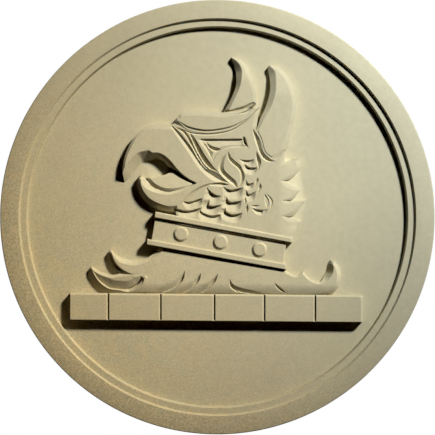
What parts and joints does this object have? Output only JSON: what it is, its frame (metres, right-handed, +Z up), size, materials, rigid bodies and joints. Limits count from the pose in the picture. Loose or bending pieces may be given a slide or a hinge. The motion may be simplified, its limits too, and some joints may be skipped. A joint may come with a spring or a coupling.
{
  "type": "architectural medallion",
  "caption": "Round stone wall medallion with a stepped rim, carved in low relief with a collared griffin's head above a bar of blocks.",
  "frame": {"origin": "centre of the disc on its flat back face, which goes against the wall", "axes": "+Y out of the back, into the wall, so the carving faces -Y; +Z up; +X to the right as seen from the front"},
  "size_m": [0.6, 0.0562, 0.6],
  "materials": {
    "buff_stone": "fine, dull, carved"
  },
  "bodies": {
    "root": {"medallion": "buff_stone"}
  },
  "joints": []
}
